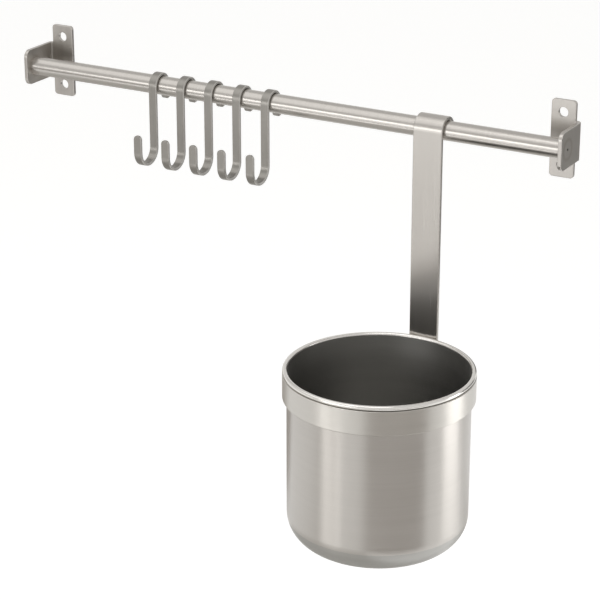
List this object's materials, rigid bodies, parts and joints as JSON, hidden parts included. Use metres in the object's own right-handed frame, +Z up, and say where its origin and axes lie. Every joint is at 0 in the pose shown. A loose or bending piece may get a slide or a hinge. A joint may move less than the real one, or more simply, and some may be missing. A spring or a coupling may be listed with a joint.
{
  "type": "kitchen utensil rail",
  "caption": "Steel wall rail between two folded brackets, with flat sliding hooks and a hanging round utensil cup in a ring on a strap.",
  "frame": {"origin": "centre of the four screw holes, on the wall plane", "axes": "+X along the rail, +Y into the wall, +Z up"},
  "size_m": [0.4, 0.1529, 0.2805],
  "materials": {
    "rail_steel": "brushed along the tube",
    "bracket_steel": "brushed sheet",
    "hook_steel": "satin flat wire",
    "strap_steel": "brushed strip",
    "ring_steel": "brushed strip",
    "cup_steel": "satin drawn sheet"
  },
  "bodies": {
    "rail": {"rail_tube": "rail_steel", "left_bracket": "bracket_steel", "right_bracket": "bracket_steel"},
    "hook_1_body": {"hook_1": "hook_steel"},
    "hook_2_body": {"hook_2": "hook_steel"},
    "hook_3_body": {"hook_3": "hook_steel"},
    "hook_4_body": {"hook_4": "hook_steel"},
    "hook_5_body": {"hook_5": "hook_steel"},
    "container": {"container_strap": "strap_steel", "container_ring": "ring_steel", "container_cup": "cup_steel"}
  },
  "joints": [
    {"name": "hook_1_slide", "type": "slide", "parent": "rail", "child": "hook_1_body", "axis": [1, 0, 0], "range_m": [-0.098, 0.0152]},
    {"name": "hook_2_slide", "type": "slide", "parent": "rail", "child": "hook_2_body", "axis": [1, 0, 0], "range_m": [-0.0152, 0.0152]},
    {"name": "hook_3_slide", "type": "slide", "parent": "rail", "child": "hook_3_body", "axis": [1, 0, 0], "range_m": [-0.0152, 0.0152]},
    {"name": "hook_4_slide", "type": "slide", "parent": "rail", "child": "hook_4_body", "axis": [1, 0, 0], "range_m": [-0.0152, 0.0152]},
    {"name": "hook_5_slide", "type": "slide", "parent": "rail", "child": "hook_5_body", "axis": [1, 0, 0], "range_m": [-0.0152, 0.105]},
    {"name": "container_slide", "type": "slide", "parent": "rail", "child": "container", "axis": [1, 0, 0], "range_m": [-0.105, 0.0777]}
  ]
}
